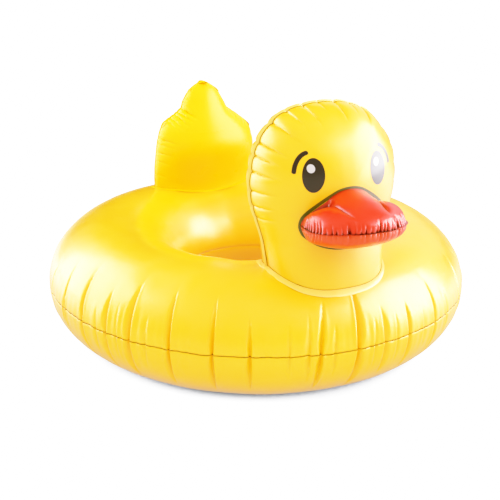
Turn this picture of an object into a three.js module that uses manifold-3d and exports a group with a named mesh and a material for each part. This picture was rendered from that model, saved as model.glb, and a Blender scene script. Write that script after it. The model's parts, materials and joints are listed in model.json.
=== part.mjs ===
// Inflatable duck swim ring, as an assembly of its welded PVC panels and its three valves.
// Millimetres, +Z up. The duck looks along -Y and its left side is +X. It stands on z = 0.
import * as THREE from 'three';
import * as BufferGeometryUtils from 'three/addons/utils/BufferGeometryUtils.js';
import Module from 'manifold-3d';

const wasm = await Module();
wasm.setup();

// ---- driving dimensions ----
const SHEET = 0.3; // thickness of the PVC sheet
const WELD_GAP = 0.3; // gap kept between two sheets that are welded together

const RING_OUTER_RADIUS = 600;
const TUBE_HALF_WIDTH = 193;
const TUBE_HALF_HEIGHT = 170;
const RING_WELD = 8; // width of the ring's two turned-in welds
const REST_BAND_HALF_WIDTH = 20; // flat band that the ring stands on
const RING_STEPS = 48;
const TUBE_STEPS = 10; // facets over half of the tube's section

const NECK_WELD = 20; // width of the margin by which the neck and the tail are welded on the ring
const SEAM_WELD = 10; // width of the flange round the head
const TAIL_SEAM_WELD = 6; // width of the flange round the tail
const PANEL_COLUMNS = 13; // odd, so that the middle column is flat across x = 0

// Half outlines of the head and the tail in their seam planes, from the ring up: half-width, height.
const HEAD_OUTLINE = [
  [153, 337], [164, 412], [187, 492], [201, 560],
  [195, 617], [171, 672], [121, 718], [40, 745],
];
const TAIL_OUTLINE = [
  [168, 343], [167, 410], [158, 486], [128, 545],
  [78, 583], [64, 612], [40, 646], [12, 664],
];
const HEAD_FOOT_HEIGHT = HEAD_OUTLINE[0][1];
const TAIL_FOOT_HEIGHT = TAIL_OUTLINE[0][1];
const HEAD_ROWS = 10;
const TAIL_ROWS = 8;
const HEAD_SEAM_Y = -371;
const HEAD_FOOT_LEAN = -14; // how far the seam steps forward from the cheeks down to the neck's foot
const CHEEK_HEIGHT = 560;
const TAIL_SEAM_Y = 388;

// Depths in front of and behind the seam, as shares of the half-width: at the foot and from a height upwards.
const HEAD_FRONT_DEPTH = [0.9, 0.745];
const HEAD_BACK_DEPTH = [0.7, 0.66];
const TAIL_DEPTH = [0.26, 0.5];
const HEAD_DEPTH_SETTLES = 500;
const TAIL_DEPTH_SETTLES = 583;

const FOOT_LIFT = 4.6; // of the foot's outer face over the ring's true surface
const FOOT_CORNER_REACH = 8; // of the foot's margin beyond the ends of the flange round the head or the tail
const FOOT_CORNER_GAP = 2; // between the front and the back margins there, on each side of the seam
const FOOT_CORNER_TURN = 14; // reach of the margin where it turns from the side to the front or the back
const PATCH_LIFT = 2.4; // of the base panel's outer face
const PATCH_SLACK = 4; // how much higher the base panel's middle lies
const PATCH_STEPS = 32;
const PATCH_SHARES = [0, 0.4, 0.75, 1]; // of the way from the base panel's middle to the foot
const TOP_WELD_SHARE = 0.12; // of the flange's width, left above the ends of its top row

const BEAK_HALF_WIDTH = 115;
const BEAK_CORNER_HEIGHT = 478;
const BEAK_RISE = 95; // from the corners up to the top of the beak's base
const BEAK_DROP = 69; // from the corners down to the bottom of the beak's base
const BEAK_LENGTH = 174; // from the corners forward to the tip's seam
const BEAK_TIP_LIFT = 18; // how much higher the tip's seam is than the corners
const BEAK_RIM_WELD = 5;
const BEAK_TOP_ROUNDNESS = 1.7; // exponent of the base's upper outline, 2 being an ellipse
const BEAK_BOTTOM_ROUNDNESS = 2;
const BEAK_RIM_ROUNDNESS = 2.55;
const BEAK_SWELL = 0.19; // how much wider the bill gets between its corners and its tip
const BEAK_UPPER_FULLNESS = 14;
const BEAK_LOWER_FULLNESS = 22;
const BEAK_FORWARD_FULLNESS = -0.4; // of the bulge, forward per unit up or down
const FACE_LIFT = 1.6; // gap from the face's true surface to the beak's edge
const BEAK_STEPS = 14;
const BEAK_ROWS = 4;

const AIR_PORT_RADIUS = 12; // hole in the face through which the beak fills

const STEM_RADIUS = 7;
const STEM_BORE_RADIUS = 4.2;
const VALVE_HOLE_RADIUS = 8;
const VALVE_FLANGE_RADIUS = 17;
const TETHER_REACH = 15; // from the valve's axis to the tether's root
const TETHER_HEIGHT = 2.3; // of the tether's root above the panel
const ROUND_STEPS = 16;

// ---- values worked out from them ----
const RING_RADIUS = RING_OUTER_RADIUS - TUBE_HALF_WIDTH;
const HALF_GAP = WELD_GAP / 2;

const vec = (x, y, z) => new THREE.Vector3(x, y, z);
const mix = THREE.MathUtils.lerp;
const smooth = THREE.MathUtils.smoothstep;
const radians = THREE.MathUtils.degToRad;

// ---- materials ----
const vinyl = (color) => new THREE.MeshStandardMaterial({ color, roughness: 0.32, metalness: 0 });
const YELLOW = '#ffd417';
const LEMON = '#fbd90c';
const RED = '#e2231a';
const ORANGE = '#ee5a1c';
const CLEAR_WHITE = '#ece8d8';

// ---- mesh tools ----

// Makes a solid of manifold-3d from a closed geometry.
function toSolid(geometry) {
  const bare = geometry.clone();
  bare.deleteAttribute('normal');
  bare.deleteAttribute('uv');
  const merged = BufferGeometryUtils.mergeVertices(bare, 1e-4);
  const triVerts = Uint32Array.from(merged.index.array);
  const vertProperties = Float32Array.from(merged.attributes.position.array);
  return new wasm.Manifold(new wasm.Mesh({ numProp: 3, vertProperties, triVerts }));
}

function fromSolid(solid) {
  const mesh = solid.getMesh();
  const geometry = new THREE.BufferGeometry();
  geometry.setAttribute('position', new THREE.BufferAttribute(mesh.vertProperties, 3));
  geometry.setIndex(new THREE.BufferAttribute(mesh.triVerts, 1));
  geometry.computeVertexNormals();
  return geometry;
}

const join = (...parts) => fromSolid(parts.map(toSolid).reduce((a, b) => a.add(b)));
const cut = (whole, tool) => fromSolid(toSolid(whole).subtract(toSolid(tool)));

// A closed sheet of even thickness. grid[i][j] holds the points of its outer face, and the thickness is laid
// on the side that (next i) x (next j) points away from. With wrap, the last row joins the first.
function sheet(grid, wrap = false) {
  const rows = grid.length;
  const columns = grid[0].length;
  const spans = wrap ? rows : rows - 1;
  const corners = grid.flat();
  const at = (i, j) => (i % rows) * columns + j;
  const keyOf = (p) => [p.x, p.y, p.z].map((value) => value.toFixed(3)).join(' ');
  const firstAt = new Map();
  const same = corners.map((p, n) => {
    const key = keyOf(p);
    if (!firstAt.has(key)) firstAt.set(key, n);
    return firstAt.get(key);
  });
  const faces = [];
  for (let i = 0; i < spans; i += 1) {
    for (let j = 0; j < columns - 1; j += 1) {
      const [a, b, c, d] = [at(i, j), at(i + 1, j), at(i + 1, j + 1), at(i, j + 1)].map((n) => same[n]);
      for (const face of [[a, b, c], [a, c, d]]) {
        if (new Set(face).size === 3) faces.push(face);
      }
    }
  }
  const normalsAt = corners.map(() => []);
  for (const face of faces) {
    const [a, b, c] = face.map((n) => corners[n]);
    const normal = vec(0, 0, 0).crossVectors(b.clone().sub(a), c.clone().sub(a)).normalize();
    for (const n of face) normalsAt[n].push(normal);
  }
  const inner = corners.map((p, n) => {
    const normal = normalsAt[n].reduce((sum, each) => sum.add(each), vec(0, 0, 0)).normalize();
    const narrowest = Math.min(1, ...normalsAt[n].map((each) => each.dot(normal)));
    return p.clone().addScaledVector(normal, -SHEET / Math.max(narrowest, 0.6));
  });
  const triangles = [];
  const edges = new Map();
  const count = corners.length;
  for (const [a, b, c] of faces) {
    triangles.push([a, b, c], [a + count, c + count, b + count]);
    for (const [from, to] of [[a, b], [b, c], [c, a]]) edges.set(`${from} ${to}`, [from, to]);
  }
  for (const [from, to] of edges.values()) {
    if (edges.has(`${to} ${from}`)) continue;
    triangles.push([from, from + count, to + count], [from, to + count, to]);
  }
  const geometry = new THREE.BufferGeometry();
  geometry.setAttribute('position', new THREE.Float32BufferAttribute(
    [...corners, ...inner].flatMap((p) => p.toArray()), 3));
  geometry.setIndex(triangles.flat());
  geometry.computeVertexNormals();
  return geometry;
}

// The plane of one facet of a grid: its middle, its outward normal and the direction towards the next row.
function facetFrame(grid, i, j) {
  const points = [grid[i][j], grid[i + 1][j], grid[i + 1][j + 1], grid[i][j + 1]];
  const centre = points.reduce((sum, p) => sum.add(p), vec(0, 0, 0)).multiplyScalar(0.25);
  const along = points[1].clone().add(points[2]).sub(points[0]).sub(points[3]).normalize();
  const across = points[3].clone().sub(points[0]);
  const normal = along.clone().cross(across).normalize();
  return { centre, normal, along };
}

// Turns a geometry's +Z to the frame's normal and its +X to the frame's along direction.
function frameMatrix({ centre, normal, along }) {
  const side = normal.clone().cross(along);
  return new THREE.Matrix4().makeBasis(along, side, normal).setPosition(centre);
}

function pierce(panel, frame, radius) {
  const tool = new THREE.CylinderGeometry(radius, radius, 12, ROUND_STEPS).rotateX(Math.PI / 2);
  return cut(panel, tool.applyMatrix4(frameMatrix(frame)));
}

// ---- ring ----

// Height of the tube's upper surface over a point on the ground.
function ringTop(x, y) {
  const offset = (Math.hypot(x, y) - RING_RADIUS) / TUBE_HALF_WIDTH;
  return TUBE_HALF_HEIGHT * (1 + Math.sqrt(Math.max(0, 1 - offset * offset)));
}

// One half of the tube, from the outer weld over the section to the inner weld. side is 1 for the upper half.
function tubeHalf(side) {
  const seam = TUBE_HALF_HEIGHT + side * HALF_GAP;
  const section = [[RING_OUTER_RADIUS - RING_WELD, seam]];
  for (let step = 0; step <= TUBE_STEPS; step += 1) {
    const angle = (Math.PI * step) / TUBE_STEPS;
    const lowest = side < 0 && step === TUBE_STEPS / 2;
    if (lowest) {
      section.push([RING_RADIUS + REST_BAND_HALF_WIDTH, 0], [RING_RADIUS - REST_BAND_HALF_WIDTH, 0]);
    } else {
      const rise = (TUBE_HALF_HEIGHT - HALF_GAP) * Math.sin(angle);
      section.push([RING_RADIUS + TUBE_HALF_WIDTH * Math.cos(angle), seam + side * rise]);
    }
  }
  section.push([RING_OUTER_RADIUS - 2 * TUBE_HALF_WIDTH + RING_WELD, seam]);
  const order = side > 0 ? section : section.reverse();
  return Array.from({ length: RING_STEPS }, (_, step) => {
    const angle = (2 * Math.PI * step) / RING_STEPS;
    return order.map(([radius, z]) => vec(radius * Math.cos(angle), radius * Math.sin(angle), z));
  });
}

// ---- head and tail: two bulged panels on a seam plane, with a foot welded on the ring ----

const depthAt = (z, shares, foot, settles) => mix(shares[0], shares[1], smooth(z, foot, settles));

const head = {
  outline: new THREE.SplineCurve(HEAD_OUTLINE.map(([x, z]) => new THREE.Vector2(x, z))),
  rows: HEAD_ROWS,
  weld: SEAM_WELD,
  seamY: (z) => HEAD_SEAM_Y + HEAD_FOOT_LEAN * (1 - smooth(z, HEAD_FOOT_HEIGHT, CHEEK_HEIGHT)),
  depth: (z, side) => {
    const shares = side < 0 ? HEAD_FRONT_DEPTH : HEAD_BACK_DEPTH;
    return depthAt(z, shares, HEAD_FOOT_HEIGHT, HEAD_DEPTH_SETTLES);
  },
};

const tail = {
  outline: new THREE.SplineCurve(TAIL_OUTLINE.map(([x, z]) => new THREE.Vector2(x, z))),
  rows: TAIL_ROWS,
  weld: TAIL_SEAM_WELD,
  seamY: () => TAIL_SEAM_Y,
  depth: (z) => depthAt(z, TAIL_DEPTH, TAIL_FOOT_HEIGHT, TAIL_DEPTH_SETTLES),
};

// Points of one bulged panel, row by row from the foot's margin to the seam's top. side -1 is the front.
function bulgedPanel(shape, side) {
  const near = side * (HALF_GAP + SHEET);
  const onRing = (x, y) => vec(x, y, ringTop(x, y) + FOOT_LIFT);
  const angles = Array.from({ length: PANEL_COLUMNS + 1 }, (_, j) => (Math.PI * j) / PANEL_COLUMNS);
  const sections = shape.outline.getSpacedPoints(shape.rows).map((point, i, all) => {
    const ahead = all[Math.min(i + 1, all.length - 1)].clone().sub(all[Math.max(i - 1, 0)]).normalize();
    const y = shape.seamY(point.y) + near;
    const bulge = side * shape.depth(point.y, side) * point.x;
    const wall = angles.map((angle) => vec(point.x * Math.cos(angle), y + bulge * Math.sin(angle), point.y));
    const reach = point.x + shape.weld * ahead.y;
    const height = point.y - shape.weld * ahead.x;
    return [vec(reach, y, height), ...wall, vec(-reach, y, height)];
  });
  const foot = sections[0].map((p) => onRing(p.x, p.y));
  const middle = shape.seamY(0) + near;
  const margin = foot.map((p, j) => {
    const last = foot.length - 1;
    const outward = Math.sign(p.x);
    if (j === 0 || j === last) {
      return onRing(p.x + outward * FOOT_CORNER_REACH, middle + side * FOOT_CORNER_GAP);
    }
    if (j === 1 || j === last - 1) {
      return onRing(p.x + outward * FOOT_CORNER_TURN, middle + side * FOOT_CORNER_TURN);
    }
    const out = new THREE.Vector2(p.x, p.y - middle).normalize().multiplyScalar(NECK_WELD);
    return onRing(p.x + out.x, p.y + out.y);
  });
  const top = sections.at(-1).map((p) => vec(p.x, shape.seamY(p.z) + near, p.z));
  top.forEach((p, j) => {
    const onWeld = j === 0 || j === top.length - 1;
    p.z += onWeld ? shape.weld * TOP_WELD_SHARE : shape.weld;
  });
  const grid = [margin, foot, ...sections.slice(1), top];
  return side < 0 ? grid : grid.map((row) => row.slice().reverse());
}

// The sheet that closes the foot of the head or the tail and lies on the ring.
function basePanel(shape) {
  const foot = shape.outline.getPoint(0);
  const middle = shape.seamY(0);
  return Array.from({ length: PATCH_STEPS }, (_, step) => {
    const angle = (2 * Math.PI * step) / PATCH_STEPS;
    const side = Math.sin(angle) < 0 ? -1 : 1;
    const edge = vec(foot.x * Math.cos(angle), foot.x * shape.depth(foot.y, side) * Math.sin(angle), 0);
    const shares = [...PATCH_SHARES, 1 + NECK_WELD / edge.length()];
    return shares.reverse().map((share) => {
      const x = edge.x * share;
      const y = middle + edge.y * share;
      return vec(x, y, ringTop(x, y) + PATCH_LIFT + (share < 1 ? PATCH_SLACK : 0));
    });
  });
}

// ---- beak ----

// Half-width of the head at a height.
function headHalfWidth(z) {
  let low = 0;
  let high = 1;
  for (let n = 0; n < 30; n += 1) {
    const middle = (low + high) / 2;
    if (head.outline.getPoint(middle).y < z) low = middle;
    else high = middle;
  }
  return head.outline.getPoint(low).x;
}

function faceY(x, z) {
  const halfWidth = headHalfWidth(z);
  const share = x / halfWidth;
  return head.seamY(z) - head.depth(z, -1) * halfWidth * Math.sqrt(Math.max(0, 1 - share * share));
}

const power = (value, exponent) => Math.sign(value) * Math.abs(value) ** exponent;

// Edge of the beak's upper (side 1) or lower (side -1) half on the face. turn runs from corner to corner.
function beakBase(turn, side) {
  const roundness = side > 0 ? BEAK_TOP_ROUNDNESS : BEAK_BOTTOM_ROUNDNESS;
  const x = BEAK_HALF_WIDTH * power(Math.cos(turn), 2 / roundness);
  const rise = side > 0 ? BEAK_RISE : -BEAK_DROP;
  const z = BEAK_CORNER_HEIGHT + rise * Math.sin(turn) ** (2 / roundness);
  return vec(x, faceY(x, z) - FACE_LIFT, z);
}

// The seam round the bill, with the corners on the face and out as an outward offset.
function beakRim(turn, out = 0) {
  const forward = Math.max(0, Math.sin(turn));
  const swell = 1 + BEAK_SWELL * 4 * forward * (1 - forward);
  const x = (BEAK_HALF_WIDTH + out) * power(Math.cos(turn), 2 / BEAK_RIM_ROUNDNESS) * swell;
  const y = beakBase(0, 1).y - (BEAK_LENGTH + out) * forward ** (2 / BEAK_RIM_ROUNDNESS);
  return vec(x, y, BEAK_CORNER_HEIGHT + BEAK_TIP_LIFT * forward);
}

function billPanel(side) {
  const fullness = side > 0 ? BEAK_UPPER_FULLNESS : BEAK_LOWER_FULLNESS;
  const apart = vec(0, 0, side * (HALF_GAP + SHEET));
  return Array.from({ length: BEAK_STEPS + 1 }, (_, step) => {
    const turn = (Math.PI * step) / BEAK_STEPS;
    const base = beakBase(turn, side).add(apart);
    const rim = beakRim(turn).add(apart);
    const weld = beakRim(turn, BEAK_RIM_WELD).add(apart);
    const wall = Array.from({ length: BEAK_ROWS + 1 }, (_, row) => {
      const share = row / BEAK_ROWS;
      const point = base.clone().lerp(rim, share);
      const bulge = fullness * 4 * share * (1 - share) * Math.sin(turn);
      return point.add(vec(0, BEAK_FORWARD_FULLNESS * bulge, side * bulge));
    });
    const line = [...wall, weld];
    return side > 0 ? line : line.reverse();
  });
}

// ---- valves: +Z points out of the panel, z = 0 is the panel's outer face ----

const lathe = (profile) => new THREE.LatheGeometry(
  profile.map(([radius, z]) => new THREE.Vector2(radius, z)), ROUND_STEPS).rotateX(Math.PI / 2);
const box = (x0, x1, halfY, z0, z1) => new THREE.BoxGeometry(x1 - x0, 2 * halfY, z1 - z0)
  .translate((x0 + x1) / 2, 0, (z0 + z1) / 2);

// Disc welded under the panel, with the collar that guides the stem.
function valveFlange() {
  const top = -SHEET - WELD_GAP;
  const bore = STEM_RADIUS + WELD_GAP;
  return lathe([[bore, top - 7.5], [bore + 2, top - 7.5], [bore + 2, top - 1], [VALVE_FLANGE_RADIUS, top - 1],
    [VALVE_FLANGE_RADIUS, top], [bore, top], [bore, top - 7.5]]);
}

// Blow-in tube with its rim, its inner stop and the lug that carries the tether.
function valveStem() {
  const bore = STEM_BORE_RADIUS;
  const tube = lathe([[bore, -22.5], [8.8, -22.5], [8.8, -20.7], [STEM_RADIUS, -20.7], [STEM_RADIUS, 0.4],
    [9.5, 0.4], [9.5, 1.1], [bore, 1.1], [bore, -22.5]]);
  return join(tube, box(-TETHER_REACH - 1, -8.5, 3, 0.4, 1.1));
}

// Tapered stopper with its disc, its tether strap and the strap's root.
function valvePlug() {
  const stopper = lathe([[0, -5], [2.6, -5], [3.7, 1.4], [8, 1.4], [8, 2.8], [0, 2.8]]);
  const strap = box(-TETHER_REACH, -7, 2.5, 1.8, 2.8);
  const root = new THREE.CylinderGeometry(0.9, 0.9, 6, 12).translate(-TETHER_REACH, 0, TETHER_HEIGHT);
  return join(stopper, strap, root);
}

// One-way flap under the stem's inner end.
const valveFlap = () => lathe([[0, -23.3], [6, -23.3], [6, -22.8], [0, -22.8]]);

function part(name, geometry, color) {
  const mesh = new THREE.Mesh(geometry, vinyl(color));
  mesh.name = name;
  return mesh;
}

function valve(name, frame) {
  const group = new THREE.Group();
  group.name = name;
  group.applyMatrix4(frameMatrix(frame));
  group.add(
    part(`${name}_flange`, valveFlange(), CLEAR_WHITE),
    part(`${name}_stem`, valveStem(), CLEAR_WHITE),
    part(`${name}_plug`, valvePlug(), CLEAR_WHITE),
    part(`${name}_flap`, valveFlap(), CLEAR_WHITE),
  );
  return group;
}

// ---- the assembly ----

const duck = new THREE.Group();
duck.name = 'duck_swim_ring';
const body = new THREE.Group();
const beakTipReach = -beakRim(Math.PI / 2, BEAK_RIM_WELD).y;
// Puts the origin under the middle of the whole object.
body.position.y = (beakTipReach - RING_OUTER_RADIUS) / 2;
duck.add(body);

const upperTube = tubeHalf(1);
const headBack = bulgedPanel(head, 1);
const tailBack = bulgedPanel(tail, 1);
const BEHIND_TAIL = RING_STEPS / 4; // the ring's facet just past the middle of its back
const OUTER_SLOPE = 3; // the facet of the tube that faces out and up
const MIDDLE_COLUMN = (PANEL_COLUMNS + 1) / 2;
const ringValveFrame = facetFrame(upperTube, BEHIND_TAIL, OUTER_SLOPE);
const headValveFrame = facetFrame(headBack, 3, MIDDLE_COLUMN);
const tailValveFrame = facetFrame(tailBack, 3, MIDDLE_COLUMN);

const face = sheet(bulgedPanel(head, -1));
const airPortFrame = facetFrame(bulgedPanel(head, -1), 4, MIDDLE_COLUMN);

body.add(
  part('ring_upper_panel', pierce(sheet(upperTube, true), ringValveFrame, VALVE_HOLE_RADIUS), YELLOW),
  part('ring_lower_panel', sheet(tubeHalf(-1), true), YELLOW),
  part('head_face_panel', pierce(face, airPortFrame, AIR_PORT_RADIUS), YELLOW),
  part('head_back_panel', pierce(sheet(headBack), headValveFrame, VALVE_HOLE_RADIUS), YELLOW),
  part('head_base_panel', sheet(basePanel(head), true), YELLOW),
  part('beak_upper_panel', sheet(billPanel(1)), RED),
  part('beak_lower_panel', sheet(billPanel(-1)), ORANGE),
  part('tail_front_panel', sheet(bulgedPanel(tail, -1)), LEMON),
  part('tail_back_panel', pierce(sheet(tailBack), tailValveFrame, VALVE_HOLE_RADIUS), LEMON),
  part('tail_base_panel', sheet(basePanel(tail), true), LEMON),
  valve('ring_valve', ringValveFrame),
  valve('head_valve', headValveFrame),
  valve('tail_valve', tailValveFrame),
);

export default duck;
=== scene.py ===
"""Looks of the inflatable duck swim ring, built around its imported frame.

Metres, +Z up, the duck looks along -Y and its left side is +X.
Every PVC panel is a closed sheet of its own: a formula gives the inflated shape, folds and pinches are pressed
into it along its seams, and the sheet is given its thickness at the end.
"""
import json
import math
from contextlib import contextmanager

import bmesh
import bpy
import numpy as np
from mathutils import Matrix, Vector
from mathutils.bvhtree import BVHTree


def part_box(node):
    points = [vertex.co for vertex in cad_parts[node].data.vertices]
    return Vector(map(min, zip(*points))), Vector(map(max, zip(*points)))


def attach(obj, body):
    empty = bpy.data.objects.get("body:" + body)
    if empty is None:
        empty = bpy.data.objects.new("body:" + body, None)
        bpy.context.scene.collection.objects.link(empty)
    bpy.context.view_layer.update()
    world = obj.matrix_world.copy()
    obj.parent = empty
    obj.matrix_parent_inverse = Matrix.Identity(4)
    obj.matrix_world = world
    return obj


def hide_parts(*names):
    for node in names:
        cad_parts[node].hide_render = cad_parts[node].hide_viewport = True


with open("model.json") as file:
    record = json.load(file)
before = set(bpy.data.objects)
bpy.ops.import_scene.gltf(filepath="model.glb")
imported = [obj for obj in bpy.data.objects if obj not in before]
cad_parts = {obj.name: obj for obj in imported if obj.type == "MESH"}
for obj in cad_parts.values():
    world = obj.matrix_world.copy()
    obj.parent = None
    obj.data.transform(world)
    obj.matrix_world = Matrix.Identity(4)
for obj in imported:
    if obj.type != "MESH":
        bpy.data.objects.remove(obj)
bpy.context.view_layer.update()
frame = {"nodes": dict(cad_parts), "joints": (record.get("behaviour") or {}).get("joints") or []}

MM = 0.001
BODY = "float"
SHEET, FLANGE_SHEET, INK = 0.3 * MM, 0.6 * MM, 0.1 * MM  # thicknesses
UP, BACK = (0, 0, 1), (0, 1, 0)

# ---- what the frame gives ----
RING_LOW, RING_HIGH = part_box("ring_upper_panel")
RING_Y = (RING_LOW.y + RING_HIGH.y) / 2
RING_OUTER = (RING_HIGH.x - RING_LOW.x) / 2
TUBE_HALF_HEIGHT = RING_HIGH.z / 2

# ---- ring ----
TUBE_HALF_WIDTH = 193 * MM
RING_RADIUS = RING_OUTER - TUBE_HALF_WIDTH
REST_BAND = 20 * MM  # half width of the flat that the ring stands on
WELD_TUCK = 6 * MM  # width of the ring's welds, turned in between its panels
WELD_GAP = 0.25 * MM  # how far each panel stays off the middle of its welds
WELD_REACH = 4 * MM  # height up to which it does
UPPER_GROOVE, LOWER_GROOVE = 2.8 * MM, 1.3 * MM  # depth along the outer weld, in each panel
GROOVE_WIDTH = 0.9 * MM
INNER_GROOVE = 0.7  # depth along the inner weld, as a share of the outer one's
UPPER_COLUMNS, LOWER_COLUMNS, BEAD_COLUMNS = 1060, 880, 1400
RING_BEAD = 0.65 * MM
# The weld look of a seam bead is partly the weld's own darker line, partly painted shade of the crevice along
# the seam.
RING_WELDS = [("outer", 0.0, 1.5 * MM, "weld"), ("inner", 180.0, 1.2 * MM, "yellow")]  # section, set back, look
RING_UNEVENNESS, PILLOW_UNEVENNESS = 1.1 * MM, 0.8 * MM
# Folds over the outer seam: angle round the ring in degrees, 0 at the duck's front and positive towards its
# left; lean of the upper end; reach above and below the seam in degrees of the tube's section; depth and width
# in mm.
SEEN_FOLDS = [
    (-97, 0, 34, 36, 8, 9), (-86, 0.6, 20, 18, 6, 6), (-84.6, -2.6, 46, 36, 8, 6),
    (-75.1, -2.2, 52, 44, 15, 10), (-69.5, -0.6, 22, 28, 4, 7), (-65.8, -0.8, 38, 44, 13, 11),
    (-62.2, -0.5, 30, 24, 4, 6), (-58.2, -0.4, 50, 46, 16, 13), (-53.4, 0, 26, 20, 3.5, 8),
    (-46.9, -0.5, 50, 42, 14, 9), (-36, -0.1, 48, 44, 13, 9), (-27, -0.2, 34, 40, 11, 9),
    (-17.7, 0, 28, 22, 5, 8), (-12.9, 0.4, 34, 28, 6, 8), (-9.9, 1.7, 44, 42, 14, 10),
    (-6.4, 0.4, 24, 24, 5, 7), (-0.3, 1.3, 52, 54, 19, 12), (4.6, 0.3, 24, 22, 5, 8),
    (7.6, -0.1, 32, 36, 10, 10), (11.5, 0, 24, 24, 5, 7), (15.7, 0, 30, 42, 13, 9), (21.5, 0, 20, 18, 4, 7),
    (26.4, 0.6, 42, 44, 15, 10), (33.4, 0, 26, 28, 5, 7), (44, 3, 44, 32, 9, 7), (49, 0, 24, 28, 6, 8),
]
BACK_FOLDS_FROM, BACK_FOLDS_TO = 57.0, 255.0  # degrees round the ring that the photograph's view can't show
STRONG_SHARE = 0.55  # of the folds at the back
LIGHT_TURNS_AT = -3.0  # left of this angle the folds open to the left, and right of it to the right
# A fold has a gentle and a steep side, a rounded bottom, a ridge beside it and a swelling past its end.
STEEP_SHARE, STEEP_LEAST = 0.28, 1.2 * MM
FOLD_ROUNDING = 0.7 * MM
RIDGE_SHARE, SWELL_SHARE, SWELL_WIDTH = 0.16, 0.04, 14 * MM

# ---- head and tail: outlines and creases in their seam planes, in mm from the middle and in height ----
HEAD_OUTLINE = [(154, 337), (161, 381), (166, 414), (174, 446), (187, 485), (196, 514), (201, 560), (198, 597),
                (189, 642), (174, 675), (150, 705), (122, 729), (68, 747), (0, 752)]
HEAD_TRIM = 6 * MM  # how much closer the duck's left side of the crown is cut
HEAD_CREASE_RADIUS, HEAD_CREASE_SHARE = 196, 0.66
HEAD_CREASES = [  # degrees from the top of the head, reach, depth and width in mm
    (-116, 28, 4, 6), (-107, 34, 7, 7), (-95, 50, 8, 8), (-81, 56, 9, 8), (-69.5, 44, 8, 7), (-60, 56, 9, 8),
    (-44, 60, 9, 8), (-31, 44, 7, 7), (-17.5, 62, 9, 7), (-5, 26, 4, 6), (9, 60, 9, 7), (22, 30, 5, 6),
    (33, 52, 8, 7), (52, 50, 8, 7), (66, 46, 8, 7), (80, 54, 9, 8), (94, 46, 8, 8), (107, 34, 7, 7)]
TAIL_LEFT = [(166, 340), (166, 395), (161, 440), (156, 480), (149, 510), (138, 536), (122, 553), (100, 566),
             (76, 586), (67, 609), (48, 638), (24, 656)]
TAIL_TOP = (-3, 664)
TAIL_RIGHT = [(168, 340), (170, 395), (170, 440), (164, 482), (150, 520), (118, 548), (84, 574), (68, 598),
              (46, 634), (22, 653)]
TAIL_CREASES = [  # start on the seam, inner end, depth and width
    (-77, 587, -42, 556, 13, 7), (-88, 576, -54, 546, 9, 5), (-99, 567, -68, 532, 10, 5),
    (-112, 559, -86, 522, 9, 5), (-124, 552, -104, 522, 6, 5), (-152, 496, -106, 484, 9, 7),
    (-155, 480, -112, 470, 5, 5), (-160, 454, -118, 448, 6, 6), (-164, 428, -122, 416, 4, 6),
    (-166, 385, -130, 372, 4, 6), (-62, 618, -46, 604, 3, 6), (-20, 657, -2, 640, 1.2, 3),
    (75, 588, 96, 544, 8, 8), (100, 562, 88, 540, 4, 4), (122, 545, 104, 518, 5, 5), (134, 536, 116, 512, 4, 5),
    (162, 488, 134, 478, 5, 6), (168, 452, 138, 446, 5, 7), (170, 405, 142, 396, 4, 7)]
HEAD_SEAM_Y = -371 * MM + RING_Y
HEAD_FOOT_LEAN = 14 * MM
HEAD_CENTRE = 562 * MM  # height of the widest part, about which the dome is round
HEAD_FOOT = 337 * MM
TAIL_SEAM_Y = 388 * MM + RING_Y
TAIL_FOOT = 340 * MM
TAIL_CENTRE = 520 * MM
HEAD_ROWS, TAIL_ROWS = 300, 240  # from a foot to the top
PANEL_COLUMNS = 50  # from the spine to the seam
# By height: exponent of the head's section, and depth of its front and back as a share of half the width.
HEAD_ROUNDNESS = [HEAD_FOOT, 0.42, 0.5, HEAD_CENTRE], [2.4, 2.15, 2.0, 1.95]
HEAD_FRONT, HEAD_BACK = ([HEAD_FOOT, 0.42, 0.5], [0.90, 0.80, 0.745]), ([HEAD_FOOT, 0.5], [0.70, 0.66])
FOOT_BLEND = 95 * MM  # height over which a panel's foot is fitted to the ring
FOOT_STEPS = 240
# Widths along x, both in mm: of the weld flanges, and of the margins round the feet. The neck's margin is
# trimmed closer towards its left side.
HEAD_FLANGE, TAIL_FLANGE = [(-150, 6), (-90, 5.5), (0, 5), (60, 4), (150, 4)], [(0, 1.4)]
HEAD_MARGIN, TAIL_MARGIN = [(0, 16), (90, 12), (150, 7)], [(0, 9)]
HEAD_MARGIN_RISE, TAIL_MARGIN_RISE = 2.4 * MM, 1.4 * MM  # at the weld line
FLANGE_LEAN = 0.7  # how far a flange leans back, as a share of its width
HEAD_BEAD, FOOT_BEAD = 0.48 * MM, 0.55 * MM
# A crease is a valley with a sharp line along its middle.
VALLEY_SHARE, LINE_SHARE, LINE_WIDTH, CREASE_ROUNDING = 0.6, 0.4, 0.28, 0.5 * MM

# ---- printed face: in mm, for the duck's left side ----
PRINT_SHIFT = -2.2  # of both sides, towards the duck's right
EYE_PLACE, EYE_HALF, EYE_TILT = (89.5, 604), (26, 41.5), 0.06
GLINT_OFFSET, GLINT_HALF = (-6, 17), (9.5, 10.5)
BROW = [(133, 607), (129, 626), (121, 642), (110, 653), (97, 659)]
BROW_WIDTH = 9
OUTLINE_OUT, OUTLINE_IN = 6.2 * MM, -2.5 * MM  # edges of the line round the beak, from the beak's own edge
PRINT_PROUD, GLINT_PROUD = 0.4 * MM, 0.75 * MM

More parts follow.
